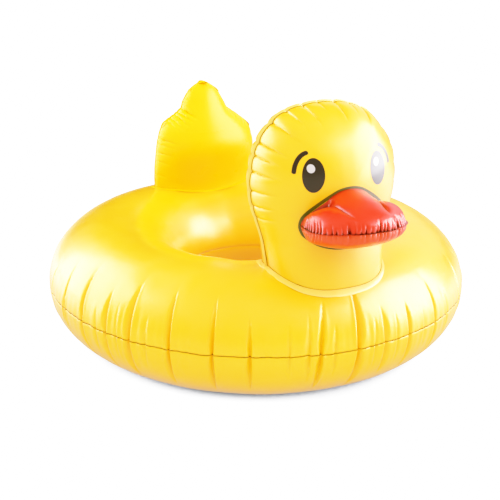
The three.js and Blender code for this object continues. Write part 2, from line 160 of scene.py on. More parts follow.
# ---- beak ----
# Half outline of its edge on the face, from the top to the bottom: from the middle, height.
BEAK_OUTLINE = [(0, 566), (27, 562), (51, 550), (76, 533), (98, 515), (111, 499), (116, 480), (113, 464),
                (103, 449), (74, 429), (38, 418), (0, 415)]
BEAK_HALF_WIDTH = 116 * MM
BEAK_CORNER = 478 * MM
BEAK_LENGTH = 174 * MM
BEAK_TIP_LIFT = 18 * MM
BEAK_ROUNDNESS, BEAK_SWELL = 2.55, 0.19  # exponent of the seam's oval, and its widening between corner and tip
BEAK_STEPS, BEAK_COLUMNS = 420, 50
BILL_HEIGHT, LOBE_HEIGHT = 29 * MM, 21 * MM  # of the skin over the middle and over the upper bill's outer lobes
LOBE_FROM, LOBE_TO = 44 * MM, 64 * MM  # from the middle
LOBE_DIP, LOBE_DIP_AT = 12 * MM, 0.1  # beside the face
CROWN_FORWARD = 0.22  # how far the skin swells forward, as a share of its height
TUCK_LINE, TUCK_DRIFT = 65 * MM, 24 * MM  # from the middle at the face, and how much less at the seam
TUCK_DEPTH, TUCK_INSIDE, TUCK_OUTSIDE = 11 * MM, 5 * MM, 14 * MM  # creases between the lobes: depth and widths
RIM_TUCK_AT, RIM_TUCK_DEPTH, RIM_TUCK_REACH = 72 * MM, 12 * MM, 34 * MM
RIM_BLEND = 8 * MM  # off the seam, over which the wrinkles turn from pressing inward to pressing down
LOWER_PRESS = 0.6  # strength of the lower bill's wrinkles
BEAK_FLANGE = [(0.3 * MM, 0.9), (3.0 * MM, 0.55)]  # reach, and how far it follows the wrinkles

# ---- valves ----
# In a valve's own frame +Z points out of the panel, z = 0 is the panel's face and the tether lies towards -X.
TETHER_REACH = 15 * MM
TETHER_HEIGHT = 2.3 * MM
VALVE_HOLE = 8 * MM
SEAT_FLAT = 20 * MM  # radius of the flat round a valve
SEAT_REACH = 36 * MM  # radius at which the panel has its own shape again
STEM_PROFILE = [(4.2, -22.5), (8.8, -22.5), (8.8, -20.7), (7, -20.7), (7, -14), (6.7, -13.5), (6.7, -12.5),
                (7, -12), (7, -8), (6.7, -7.5), (6.7, -6.5), (7, -6), (7, 0.4), (9.5, 0.4), (9.5, 1.1),
                (4.2, 1.1)]
PLUG_PROFILE = [(0, -5), (2.4, -5), (2.7, -4.4), (3.2, -2.6), (3.5, -2.4), (3.7, 1.4), (8, 1.4), (8, 2.8),
                (7, 2.8), (6.6, 2.5), (0, 2.5)]
WELD_RING_PROFILE = [(15.4, -0.1), (15.9, 0.45), (17.1, 0.45), (17.6, -0.1)]
LUG = (-13, -8.3, 2.9, 0.4, 1.1)  # root, end, half width, underside and top, in mm
TETHER = (-13.4, -7.2, 2.4, 1.75, 2.65)

# ---- looks ----
CLOUD_SCALE, STREAK_SCALE, PEEL_SCALE, BLOTCH_SCALE = 4.0, 22.0, 420.0, 60.0
PEEL_HEIGHT = 0.4 * MM
ROUGHNESS_SPREAD = (0.88, 1.15)
CREASE_SHADE_REACH, CREASE_SHADE_SHARES = 22 * MM, (0.5, 0.98)  # painted shade in creases: reach of the open-sky test, and the shares of open sky from deep in a crease to outside it
NOISE_SHARES = (0.3, 0.7)  # between which most of a noise lies

# ---- stage ----
CAMERA_AT = (-1.3368, -2.7408, 1.3403)  # from the ring's centre on the ground
CAMERA_AIM = (-0.0155, 0.0076, 0.2346)
CAMERA_ROLL = 0.0115
CAMERA_LENS, CAMERA_SENSOR = 79.6, 36
LAMP_AIM = (0, 0, 0.3)
LEFT_LAMP, RIGHT_LAMP = (-2.35, 1.95, 1.6), (2.65, -1.45, 1.5)
SOFTBOXES = [  # name, place, width, height, radiance, whether it gives the highlights or the soft light
    ("left_softbox", (-2.3, 1.9, 1.9), 2.6, 2.2, 0.9, False),
    ("right_softbox", (2.6, -1.4, 1.9), 2.6, 2.2, 2.0, False),
    ("left_highlight", LEFT_LAMP, 3.2, 3.0, 5.8, True),
    ("left_glow", (-2.7, 2.3, 1.9), 5.8, 4.2, 1.0, True),
    ("right_highlight", RIGHT_LAMP, 3.0, 2.9, 10.0, True),
    ("right_glow", (3.2, -1.5, 1.8), 5.8, 4.6, 0.9, True),
    ("back_glow", (2.7, 2.3, 1.9), 3.2, 2.5, 1.0, True),
]
SUN_STRENGTH, SUN_DEGREES = 1.8, 120
WORLD_LIGHT = 1.21
FLOOR_HALF = 14.0
FLOOR_WHITE = 1.7  # over-exposed
FLOOR_PALE = (0.82, 0.82, 0.82, 1)  # what the light meets
FLOOR_GLOSS, FLOOR_GLOW = 0.6, 4.2  # what the object mirrors of the floor, far from the lamps and under them
GLOW_REACH = (0.7, 2.7)  # from a lamp's foot
CONTACT_REACH = 0.4
CONTACT_SHADE = 0.0  # brightness of the floor right where the ring touches it
CONTACT_SHARES = (0.05, 0.19)  # of open sky, up to which the floor is dark and from which it is fully bright
# Film curve, from the light to the picture: straight at first, then a soft shoulder.
SHOULDER = [(0.5, 0.5), (0.7, 0.685), (0.85, 0.79), (1.0, 0.865), (1.3, 0.955)]
SHOULDER_END = 1.6
BLUE_TOE = [(0.05, 0.022), (0.12, 0.095), (0.3, 0.3)]


# ---------------------------------------------------------------- small tools

def smoothstep(value, low, high):
    share = np.clip((value - low) / (high - low), 0, 1)
    return share * share * (3 - 2 * share)


def unit(vectors):
    return vectors / np.maximum(np.linalg.norm(vectors, axis=-1, keepdims=True), 1e-12)


def turn_between(start, end):
    """Degrees from one angle to another, the short way round."""
    return (end - start + 180) % 360 - 180


def steps_along(path, closed):
    return np.roll(path, -1, 0) - np.roll(path, 1, 0) if closed else np.gradient(path, axis=0)


def right_of(path, closed=False):
    """Unit directions to the right of a flat path."""
    ahead = steps_along(path, closed)
    return unit(np.stack([ahead[:, 1], -ahead[:, 0]], -1))


def arc_length(path):
    return np.concatenate([[0], np.cumsum(np.linalg.norm(np.diff(path, axis=0), axis=1))])


def resampled(path, count, endpoint=True):
    """The path at count places of even spacing."""
    length = arc_length(path)
    even = np.linspace(0, length[-1], count, endpoint=endpoint)
    return np.stack([np.interp(even, length, column) for column in path.T], -1)


def spline(points, count):
    """Catmull-Rom curve through the points, sampled at count points of even spacing."""
    knots = np.array(points, float)
    ends = np.vstack([2 * knots[0] - knots[1], knots, 2 * knots[-1] - knots[-2]])
    steps = np.linspace(0, 1, 40, endpoint=False)[:, None]
    pieces = []
    for a, b, c, d in zip(ends, ends[1:], ends[2:], ends[3:]):
        pieces.append(0.5 * (2 * b + (c - a) * steps + (2 * a - 5 * b + 4 * c - d) * steps ** 2
                             + (3 * b - a - 3 * c + d) * steps ** 3))
    return resampled(np.vstack(pieces + [knots[-1:]]), count)


def widths(x, table):
    """Width at each x, from a table of places and widths in mm."""
    return np.interp(x, *(np.array(table, float).T * MM))


def grid_normals(points):
    """Unit normals of a grid of points, along (next row) x (next column)."""
    return unit(np.cross(np.gradient(points, axis=0), np.gradient(points, axis=1)))


def waves(a, b, scale, seed, count=6):
    """Gentle unevenness in two coordinates, about -1 to 1, with features of about the given size."""
    random = np.random.default_rng(seed)
    total = np.zeros(np.broadcast(a, b).shape)
    for _ in range(count):
        turn = random.uniform(0, 2 * math.pi)
        reach = random.uniform(0.6, 1.6) * scale
        phase = random.uniform(0, 2 * math.pi)
        total += np.sin((a * math.cos(turn) + b * math.sin(turn)) * 2 * math.pi / reach + phase)
    return total / math.sqrt(count)


def link(obj):
    bpy.context.scene.collection.objects.link(obj)
    return obj


def mesh_object(name, vertices, faces):
    mesh = bpy.data.meshes.new(name)
    mesh.from_pydata(np.asarray(vertices).tolist(), [], [list(face) for face in faces])
    mesh.validate()
    return link(bpy.data.objects.new(name, mesh))


def grid_faces(rows, columns, wrap_rows=False, wrap_columns=False):
    i = np.arange(rows if wrap_rows else rows - 1)[:, None]
    j = np.arange(columns if wrap_columns else columns - 1)[None, :]
    after = (i + 1) % rows
    beside = (j + 1) % columns
    quads = [i * columns + j, after * columns + j, after * columns + beside, i * columns + beside]
    return np.stack(np.broadcast_arrays(*quads), -1).reshape(-1, 4)


@contextmanager
def opened(obj):
    """The object's mesh, open for changes."""
    work = bmesh.new()
    work.from_mesh(obj.data)
    yield work
    work.to_mesh(obj.data)
    work.free()


def weld(obj, distance=0.02 * MM):
    """Merges points that lie on each other and drops the faces this empties."""
    with opened(obj) as work:
        bmesh.ops.remove_doubles(work, verts=work.verts, dist=distance)
        bmesh.ops.dissolve_degenerate(work, edges=work.edges, dist=distance / 4)


def face_outward(obj):
    with opened(obj) as work:
        bmesh.ops.recalc_face_normals(work, faces=work.faces)


def apply_modifiers(obj):
    depsgraph = bpy.context.evaluated_depsgraph_get()
    final = bpy.data.meshes.new_from_object(obj.evaluated_get(depsgraph))
    obj.modifiers.clear()
    obj.data = final


def thicken(obj, thickness):
    """Turns an open sheet into a closed one, laid behind its outer face."""
    solid = obj.modifiers.new("thickness", "SOLIDIFY")
    solid.thickness = thickness
    solid.offset = -1
    solid.use_rim = True
    apply_modifiers(obj)


def shade_smooth(obj, sharp_degrees):
    mesh = obj.data
    mesh.polygons.foreach_set("use_smooth", [True] * len(mesh.polygons))
    mesh.set_sharp_from_angle(angle=math.radians(sharp_degrees))
    mesh.update()


def sheet(name, points, wrap_rows=False, thickness=SHEET, sharp_degrees=50, valve=None):
    """A closed PVC sheet whose outer face runs through the grid of points, with the seat of its valve."""
    rows, columns = points.shape[:2]
    obj = mesh_object(name, points.reshape(-1, 3), grid_faces(rows, columns, wrap_rows))
    weld(obj)
    if valve:
        seat_valve(obj, valve_frame(valve))
    thicken(obj, thickness)
    shade_smooth(obj, sharp_degrees)
    return obj


def bead(name, path, radius, across, closed=False, sides=8):
    """A thin closed bead of round section along a row of points. The path never takes the direction across."""
    ahead = unit(steps_along(path, closed))
    side = unit(np.cross(ahead, across))
    other = np.cross(side, ahead)
    turns = np.linspace(0, 2 * math.pi, sides, endpoint=False)[None, :, None]
    points = path[:, None] + radius * (np.cos(turns) * side[:, None] + np.sin(turns) * other[:, None])
    faces = [tuple(face) for face in grid_faces(len(path), sides, closed, True)]
    if not closed:
        faces += [tuple(range(sides)), tuple(range((len(path) - 1) * sides, len(path) * sides))]
    obj = mesh_object(name, points.reshape(-1, 3), faces)
    face_outward(obj)
    shade_smooth(obj, 60)
    return obj


# ---------------------------------------------------------------- materials

def add_node(tree, kind, inputs, output=0, **settings):
    """Adds a shader node, whose inputs are values or other nodes' outputs, and gives its output."""
    node = tree.nodes.new("ShaderNode" + kind)
    for name, value in settings.items():
        setattr(node, name, value)
    for name, value in inputs.items():
        if isinstance(value, bpy.types.NodeSocket):
            tree.links.new(value, node.inputs[name])
        else:
            node.inputs[name].default_value = value
    return node.outputs[output]


def noise(tree, place, scale, detail=3.0):
    return add_node(tree, "TexNoise", {"Vector": place, "Scale": scale, "Detail": detail}, "Fac")


def map_range(tree, value, old, new, **settings):
    limits = {"From Min": old[0], "From Max": old[1], "To Min": new[0], "To Max": new[1]}
    return add_node(tree, "MapRange", {"Value": value, **limits}, **settings)


def multiply_add(tree, value, factor, term):
    return add_node(tree, "Math", {0: value, 1: factor, 2: term}, operation="MULTIPLY_ADD")


def open_sky(tree, reach, samples):
    return add_node(tree, "AmbientOcclusion", {"Distance": reach}, "AO", samples=samples)


def mix_colors(tree, factor, *colors):
    first, second = ((*color, 1) if isinstance(color, tuple) else color for color in colors)
    return add_node(tree, "Mix", {"Factor": factor, 6: first, 7: second}, 2, data_type="RGBA")


def clouded(tree, place, scale, color, deep):
    """A colour that drifts between two."""
    return mix_colors(tree, map_range(tree, noise(tree, place, scale), NOISE_SHARES, (0.0, 1.0)), color, deep)


def painted_crease_shade(tree, color, dark):
    """The colour with painted shade, darkened where the skin is folded onto itself."""
    sky = open_sky(tree, CREASE_SHADE_REACH, samples=8)
    share = map_range(tree, sky, CREASE_SHADE_SHARES, (0.0, 1.0), interpolation_type="SMOOTHSTEP")
    return mix_colors(tree, share, dark, color)


def principled(name, color, roughness, **sockets):
    material = bpy.data.materials.new(name)
    material.use_nodes = True
    shader = material.node_tree.nodes["Principled BSDF"]
    for socket, value in {"Base_Color": (*color, 1), "Roughness": roughness, **sockets}.items():
        shader.inputs[socket.replace("_", " ")].default_value = value
    place = material.node_tree.nodes.new("ShaderNodeTexCoord").outputs["Object"]
    return material, material.node_tree, shader.inputs, place


def vinyl(name, color, deep, roughness, coat=0.7, gloss=0.5, crease=None):
    """Glossy calendered PVC: slightly uneven colour and gloss, and a faint orange-peel surface. Given a crease
    colour, it also gets painted shade in its creases.
    """
    material, tree, inputs, place = principled(name, color, roughness, Coat_Weight=coat, Coat_Roughness=0.25,
                                               IOR=1.5, Specular_IOR_Level=gloss)
    tint = clouded(tree, place, CLOUD_SCALE, color, deep)
    # Painted shade: the crease colour darkens the skin where little open sky is seen.
    if crease:
        tint = painted_crease_shade(tree, tint, crease)
    tree.links.new(tint, inputs["Base Color"])
    spread = [roughness * share for share in ROUGHNESS_SPREAD]
    tree.links.new(map_range(tree, noise(tree, place, STREAK_SCALE), NOISE_SHARES, spread), inputs["Roughness"])
    peel = noise(tree, place, PEEL_SCALE, 2.0)
    bump = add_node(tree, "Bump", {"Strength": 0.05, "Distance": PEEL_HEIGHT, "Height": peel})
    tree.links.new(bump, inputs["Normal"])
    return material


def weld_line_and_shade(color, deep):
    """Matt, darker vinyl where two panels meet in a weld, blotched along the line: partly the weld's own darker
    line, partly painted shade of the crevice along the seam.
    """
    material, tree, inputs, place = principled("weld_line_and_shade_vinyl", color, 0.8, Specular_IOR_Level=0.1)
    tree.links.new(clouded(tree, place, BLOTCH_SCALE, color, deep), inputs["Base Color"])
    return material


LOOKS = {  # each a material and the slot of the record that it belongs to
    "yellow": (vinyl("yellow_vinyl", (0.98, 0.51, 0.001), (0.97, 0.49, 0.001), 0.36), "yellow_vinyl"),
    "lemon": (vinyl("lemon_vinyl", (0.97, 0.59, 0.0), (0.96, 0.55, 0.0), 0.3, coat=0.0, gloss=0.25),
              "lemon_vinyl"),
    # Lighter than the panels' yellow: painted light, for the light that shines through the thin flange.
    "flange": (vinyl("weld_flange_painted_light_vinyl", (0.99, 0.64, 0.11), (0.98, 0.61, 0.1), 0.4), "yellow_vinyl"),
    # Weld look: partly the weld's own darker line, partly painted shade of the seam's crevices.
    "weld": (weld_line_and_shade((0.42, 0.25, 0.008), (0.27, 0.16, 0.005)), "yellow_vinyl"),
    # The red's crease colour is painted shade for the beak's creases.
    "red": (vinyl("red_vinyl", (0.82, 0.02, 0.003), (0.74, 0.013, 0.003), 0.36, coat=0.6,
                  crease=(0.24, 0.003, 0.001)), "red_vinyl"),
    "orange": (vinyl("orange_vinyl", (0.82, 0.065, 0.01), (0.76, 0.045, 0.009), 0.36, coat=0.35),
               "orange_vinyl"),
    "ink": (vinyl("dark_ink", (0.036, 0.019, 0.024), (0.045, 0.023, 0.029), 0.34), "yellow_vinyl"),
    "white_ink": (vinyl("white_ink", (0.62, 0.56, 0.52), (0.58, 0.53, 0.49), 0.36), "yellow_vinyl"),
    "olive_ink": (vinyl("olive_ink", (0.115, 0.1, 0.008), (0.1, 0.085, 0.007), 0.38), "yellow_vinyl"),
    "valve": (vinyl("valve_vinyl", (0.6, 0.58, 0.5), (0.56, 0.54, 0.46), 0.3), "valve_vinyl"),
}


def paint(obj, look):
    obj.data.materials.clear()
    obj.data.materials.append(LOOKS[look][0])


def finish_piece(obj, look, body, *nodes):
    paint(obj, look)
    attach(obj, body)
    if nodes:
        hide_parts(*nodes)
    return obj


def make_panel(node, points, look, sharp_degrees=60, wrap_rows=False, valve=None):
    """The skin that takes the place of a panel of the frame."""
    name = node.replace("panel", "skin")
    skin = sheet(name, points, wrap_rows=wrap_rows, sharp_degrees=sharp_degrees, valve=valve)
    return finish_piece(skin, look, BODY, node)


# ---------------------------------------------------------------- ring

def back_folds():
    """Folds of the same kind over the rest of the seam."""
    random = np.random.default_rng(11)
    folds = []
    angle = BACK_FOLDS_FROM
    while angle < BACK_FOLDS_TO:
        strong = random.random() < STRONG_SHARE
        depth = random.uniform(8, 14) if strong else random.uniform(2.5, 6)
        reach = random.uniform(34, 50) if strong else random.uniform(16, 30)
        folds.append((angle, random.uniform(-1.5, 1.5), reach, reach * random.uniform(0.5, 0.8), depth,
                      random.uniform(7, 10)))
        angle += random.uniform(6, 12) if strong else random.uniform(4, 8)
    return folds


def fine_folds():
    """Weak ripples over the seam between the folds: angle, reach in degrees, depth and width in mm."""
    random = np.random.default_rng(17)
    ripples = []
    angle = -180.0
    while angle < 180:
        ripples.append((angle, random.uniform(16, 34), random.uniform(0.7, 2.4), random.uniform(5, 9)))
        angle += random.uniform(1.6, 3.6)
    return ripples


FOLDS = SEEN_FOLDS + back_folds()
RIPPLES = fine_folds()


def ring_angles(count):
    """Angles of the ring's columns, closer together beside a fold."""
    fine = np.linspace(-180, 180, 14401)
    density = np.full(fine.shape, 1.0)
    for angle, _, _, _, depth, _ in FOLDS:
        density += (1.2 + depth / 3.2) * np.exp(-np.abs(turn_between(angle, fine)) / 0.8)
    total = np.concatenate([[0], np.cumsum((density[1:] + density[:-1]) / 2)])
    return np.interp(np.linspace(0, total[-1], count, endpoint=False), total, fine)


def fold_relief(angle, section, upper):
    """Height of the ring's skin over its even shape, in metres: the folds press it in. section is in degrees of
    the tube's section, 0 at the outer seam."""
    radius = RING_RADIUS + TUBE_HALF_WIDTH * np.cos(np.radians(section))
    relief = np.zeros(np.broadcast(angle, section).shape)
    for centre, lean, reach_up, reach_down, depth, width in FOLDS:
        reach = reach_up if upper else reach_down
        climb = np.clip(section / reach, 0, 1)
        line = centre + (lean if upper else -0.4 * lean) * climb ** 1.4
        away = np.radians(turn_between(line, angle)) * radius
        opens = -1 if centre < LIGHT_TURNS_AT else 1
        gentle = width * MM * (0.55 + 1.05 * np.sin(math.pi * climb ** 0.7)) * (1 - 0.3 * climb)
        steep = STEEP_SHARE * gentle + STEEP_LEAST
        rounded = np.hypot(away, FOLD_ROUNDING) - FOLD_ROUNDING
        valley = np.clip(1 - rounded / np.where(away * opens > 0, gentle, steep), 0, 1) ** 1.3
        fade = (1 - climb) ** 0.8 * (0.7 + 0.3 * smoothstep(climb, 0, 0.3))
        ridge = np.exp(-((-away * opens - 1.7 * steep) / (1.1 * steep)) ** 2)
        swell = smoothstep(section, reach * 0.5, reach) * (1 - smoothstep(section, reach, reach * 1.6))
        swell = swell * np.exp(-(away / SWELL_WIDTH) ** 2)
        relief += depth * MM * (fade * (RIDGE_SHARE * ridge - valley) - SWELL_SHARE * swell)
    for centre, reach, depth, width in RIPPLES:
        climb = np.clip(section / reach, 0, 1)
        away = np.radians(turn_between(centre, angle)) * radius
        relief -= depth * MM * (1 - climb) ** 0.7 * np.exp(-(away / (width * MM)) ** 2)
    return relief


def tube_sections(upper):
    """Section angles from the outer seam (0) over the tube to the inner seam (180), closer at the seams."""
    outer = 52 * np.linspace(0, 1, 27) ** 1.25
    inner = 180 - 8 * (1 - np.linspace(0, 1, 5)) ** 1.5
    if upper:
        middle = np.linspace(52, 172, 13)[1:-1]
    else:
        middle = np.array([60, 68, 75, 79, 82, 85, 88, 92, 95, 98, 101, 105, 112, 120, 130, 141, 152, 163])
    return np.concatenate([outer, middle, inner])


def outer_wander(angle):
    """Height by which the outer seam wanders, for angles in degrees."""
    arc = np.radians(angle) * RING_OUTER
    return 0.8 * MM * waves(arc, 0 * arc, 0.06, 5) + 1.2 * MM * waves(arc, 0 * arc, 0.3, 6)


def inner_wander(angle):
    """The same of the inner seam."""
    arc = np.radians(angle) * RING_RADIUS
    return 0.8 * MM * waves(arc, 0 * arc, 0.5, 9)


def around_ring(angle, radius, z):
    turn = np.radians(angle)
    return np.stack([radius * np.sin(turn), RING_Y - radius * np.cos(turn), z], -1)


def ring_panel(upper):
    """Grid of one panel: rows round the ring, columns from the outer to the inner weld, both tucked in."""
    side, groove_depth = (1, UPPER_GROOVE) if upper else (-1, LOWER_GROOVE)
    angle = ring_angles(UPPER_COLUMNS if upper else LOWER_COLUMNS)[:, None]
    section = tube_sections(upper)[None, :]
    turn = np.radians(section)
    offset = TUBE_HALF_WIDTH * np.cos(turn)
    lift = TUBE_HALF_HEIGHT * np.sin(turn)
    out = np.stack([np.cos(turn) / TUBE_HALF_WIDTH, np.sin(turn) / TUBE_HALF_HEIGHT])
    out /= np.linalg.norm(out, axis=0)
    uneven = RING_UNEVENNESS * waves(np.sin(np.radians(angle)), np.cos(np.radians(angle)), 0.42, 3)
    relief = fold_relief(angle, section, upper) + uneven * np.sin(turn) * (1 if upper else 0.3)
    if not upper:
        flat = 1 - smoothstep(np.abs(offset), REST_BAND * 0.8, REST_BAND * 2)
        lift = lift + (TUBE_HALF_HEIGHT - lift) * flat
        relief = relief * (1 - smoothstep(section, 60, 78) * (1 - smoothstep(section, 102, 120)))
    wander = outer_wander(angle) * np.exp(-section / 5.0) + inner_wander(angle) * np.exp(-(180 - section) / 6.0)
    groove = groove_depth * np.exp(-np.abs(lift) / GROOVE_WIDTH)
    radius = RING_RADIUS + offset + out[0] * relief + np.where(section < 90, -groove, INNER_GROOVE * groove)
    z = TUBE_HALF_HEIGHT + side * (lift + out[1] * relief) + wander
    radius = np.column_stack([radius[:, 0] - WELD_TUCK, radius, radius[:, -1] + WELD_TUCK])
    z = np.column_stack([z[:, 0], z, z[:, -1]])
    z = z + side * WELD_GAP * (np.abs(z - TUBE_HALF_HEIGHT) < WELD_REACH)
    points = around_ring(angle, radius, z)
    return points if upper else points[:, ::-1]


def seam_path(section, set_back):
    """Path of the bead of the outer (section 0) or inner (180) weld, set back in the groove."""
    angle = ring_angles(BEAD_COLUMNS)
    out = math.cos(math.radians(section))
    radius = RING_RADIUS + out * (TUBE_HALF_WIDTH + fold_relief(angle, section + 0 * angle, True) - set_back)
    return around_ring(angle, radius, TUBE_HALF_HEIGHT + (outer_wander if out > 0 else inner_wander)(angle))


def make_ring():
    make_panel("ring_upper_panel", ring_panel(True), "yellow", 50, wrap_rows=True, valve="ring_valve")
    make_panel("ring_lower_panel", ring_panel(False), "yellow", 50, wrap_rows=True)
    # A bead in the weld look is partly painted shade of the crevice along its seam.
    for name, section, set_back, look in RING_WELDS:
        line = bead(f"ring_{name}_seam_bead", seam_path(section, set_back), RING_BEAD, UP, closed=True)
        finish_piece(line, look, BODY)


def ring_top(x, y):
    """Height of the tube's upper surface over a point of the ground."""
    offset = (np.hypot(x, y - RING_Y) - RING_RADIUS) / TUBE_HALF_WIDTH
    return TUBE_HALF_HEIGHT * (1 + np.sqrt(np.clip(1 - offset * offset, 0, 1)))


# ---------------------------------------------------------------- head and tail

def trim_crown(points):
    """Moves the duck's left side of the crown in, where the two sides of the head differ."""
    crown = smoothstep(points[:, 1], 620 * MM, 700 * MM) * smoothstep(points[:, 0], 20 * MM, 110 * MM)
    return points - np.stack([crown, 0.5 * crown], -1) * HEAD_TRIM


def matched_halves(points, count, centre):
    """The outline with count points a side, whose two sides have the same heights up to the centre."""
    top = int(np.argmax(points[:, 1]))
    low_count = int(count * 0.45)
    halves = []
    for half in (points[:top + 1], points[:top - 1:-1]):
        knee = int(np.argmax(half[:, 1] > centre))
        low_z = np.linspace(half[0, 1], centre, low_count, endpoint=False)
        low = np.stack([np.interp(low_z, half[:knee + 1, 1], half[:knee + 1, 0]), low_z], -1)
        start = np.array([[np.interp(centre, half[:knee + 1, 1], half[:knee + 1, 0]), centre]])
        high = spline(np.vstack([start, half[knee + 2:-2:3], half[-1:]]), count - low_count)
        halves.append(np.vstack([low, high]))
    return np.vstack([halves[0], halves[1][-2::-1]])


class Pillow:
    """Two bulged panels on a common seam in a nearly upright plane, standing on the ring.

    seam_y, roundness and depth are functions of the height, and depth also of the side, -1 for the front. The
    outline runs from the duck's right foot over the top to its left foot.
    """

    weld_share = 0.75  # strength of a crease at the weld itself

    def __init__(self, outline, count, centre, seam_y, roundness, depth, seed):
        self.seam = matched_halves(trim_crown(spline(np.array(outline) * MM, 4 * count)), count, centre)
        self.half = self.seam[count - 1:][::-1]
        self.outward = -right_of(self.seam)
        self.centre = centre
        self.foot = self.seam[0, 1]
        self.seam_y = seam_y
        self.roundness = roundness
        self.depth = depth
        self.seed = seed
        self.pinches = []

    def pinch(self, x, z, end_x, end_z, depth, width):
        """Adds a crease from the seam at (x, z) to an inner point, all in mm in the seam's plane."""
        start = np.array([x, z]) * MM
        nearest = self.seam[np.argmin(np.linalg.norm(self.seam - start, axis=1))]
        self.pinches.append((nearest, np.array([end_x, end_z]) * MM, depth * MM, width * MM))

    def relief(self, x, z, side):
        """Height of the skin over its even shape at a point of the seam's plane: the creases press it in."""
        total = PILLOW_UNEVENNESS * waves(x, z, 0.22, self.seed + side)
        for start, end, depth, width in self.pinches:
            length = np.linalg.norm(end - start)
            axis = (end - start) / length
            along = (x - start[0]) * axis[0] + (z - start[1]) * axis[1]
            away = -(x - start[0]) * axis[1] + (z - start[1]) * axis[0]
            climb = np.clip(along / length, 0, 1)
            narrow = width * (0.35 + 0.65 * (1 - climb))
            rounded = np.hypot(away, CREASE_ROUNDING)
            valley = VALLEY_SHARE * np.exp(-rounded / narrow)
            line = LINE_SHARE * np.exp(-rounded / (LINE_WIDTH * narrow))
            fade = (1 - climb) ** 1.15 * (self.weld_share + (1 - self.weld_share) * smoothstep(climb, 0, 0.22))
            total = total - depth * fade * (valley + line)
        return total

    def bulge(self, x, z, share, side):
        """How far the inflated panel stands off the seam's plane. share is 0 at the spine and 1 at the seam."""
        low = np.minimum(z, self.centre)
        half_width = np.interp(low, self.half[:, 1], self.half[:, 0])
        roundness = self.roundness(low)
        return half_width * self.depth(low, side) * np.clip(1 - share ** roundness, 0, 1) ** (1 / roundness)

    def panel(self, side):
        """Grid of one panel: rows along the seam from foot to foot, columns from the spine to the seam."""
        psi = np.linspace(0, math.pi / 2, PANEL_COLUMNS)[None, :]
        seam = self.seam[:, None, :]
        spine_z = np.minimum(seam[..., 1], self.centre)
        share = np.sin(psi) ** (2 / self.roundness(spine_z))
        x = seam[..., 0] * share
        z = spine_z + (seam[..., 1] - spine_z) * share
        points = np.stack([x, self.seam_y(z) + side * self.bulge(x, z, share, side), z], -1)
        normals = grid_normals(points)
        flat = np.linalg.norm(normals, axis=-1) < 0.5
        outward = np.where(normals[..., 1:2] * side < 0, -1.0, 1.0)
        normals = np.where(flat[..., None], [0.0, side, 0.0], normals * outward)
        normals[:, 0, 0] = 0
        normals[:, -1] = np.insert(self.outward, 1, 0, axis=1)
        points = points + normals * self.relief(x, z, side)[..., None]
        drop = self.foot - ring_top(points[..., 0], points[..., 1]) - 1.0 * MM
        points[..., 2] -= drop * (1 - smoothstep(points[..., 2], self.foot, self.foot + FOOT_BLEND))
        points[..., 1] += side * 0.4 * MM
        return points if side < 0 else points[::-1]

    def seam_path(self, out, pull, forward=0.0):
        """The seam as the creases pull it, moved outward and forward, standing on the ring."""
        press = self.relief(self.seam[:, 0], self.seam[:, 1], -1)
        flat = self.seam + self.outward * (press * pull + out)[:, None]
        y = self.seam_y(flat[:, 1]) - forward
        low = ring_top(flat[:, 0], y) + 1.2 * MM
        return np.stack([flat[:, 0], y, np.maximum(flat[:, 1], low)], -1)

    def flange(self, name, table, look):
        """The flat weld flange round the seam."""
        width = widths(self.seam[:, 0], table)
        ripple = 0.8 * MM * waves(self.seam[:, 0], self.seam[:, 1], 0.05, self.seed + 9)
        rows = []
        for reach in (-0.25, 0.0, 0.3, 0.65, 1.0):
            row = self.seam_path(width * reach, 1 - 0.5 * max(reach, 0))
            row[:, 1] += max(reach, 0) * (FLANGE_LEAN * width + ripple) + 0.3 * MM
            rows.append(row)
        finish_piece(sheet(name, np.stack(rows, 1), thickness=FLANGE_SHEET), look, BODY)

    def seam_beads(self, name, radius, look):
        """The dark line where each panel leaves the flange: partly the weld's own darker line, partly painted
        shade of the corner there.
        """
        for label, forward in (("front", 0.9 * MM), ("back", -0.9 * MM)):
            path = self.seam_path(0.4 * MM, 1.0, forward)
            finish_piece(bead(f"{name}_{label}_bead", path, radius, BACK), look, BODY)

    def foot_loop(self):
        """Closed loop on the ground plan where the panels' feet meet the ring, and its outward directions."""
        front = self.panel(-1)[..., :2]
        back = self.panel(1)[::-1, :, :2]
        line = np.vstack([front[0, ::-1], front[-1], back[-1, ::-1], back[0], front[:1, -1]])
        loop = resampled(line, FOOT_STEPS, endpoint=False)
        normal = right_of(loop, closed=True)
        for _ in range(12):
            normal = (np.roll(normal, 1, 0) + normal + np.roll(normal, -1, 0)) / 3
        return loop, unit(normal)

    def foot_band(self, name, table, rise, look, node, line_look):
        """Welded margin round the foot, lying on the ring, and the fine line of its weld, which in the weld
        look is partly painted shade of the gap at the foot.
        """
        loop, normal = self.foot_loop()
        share = np.concatenate([[-0.45], np.linspace(0, 1, 14)])
        reach = widths(loop[:, 0], table)[:, None] * share
        x, y = np.moveaxis(loop[:, None, :] + normal[:, None, :] * reach[..., None], -1, 0)
        crown = rise * np.sqrt(np.clip(1 - np.clip(share, 0, 1) ** 2.4, 0, 1)) + 0.6 * MM
        ripple = 0.3 * MM * waves(x, y, 0.09, self.seed + 3)
        points = np.stack([x, y, ring_top(x, y) + crown + ripple], -1)
        finish_piece(sheet(name, points[:, ::-1], wrap_rows=True), look, BODY, node)
        foot = loop + normal * 0.8 * MM
        path = np.column_stack([foot, ring_top(foot[:, 0], foot[:, 1]) + rise + 0.9 * MM])
        finish_piece(bead(name + "_line", path, FOOT_BEAD, UP, closed=True), line_look, BODY)


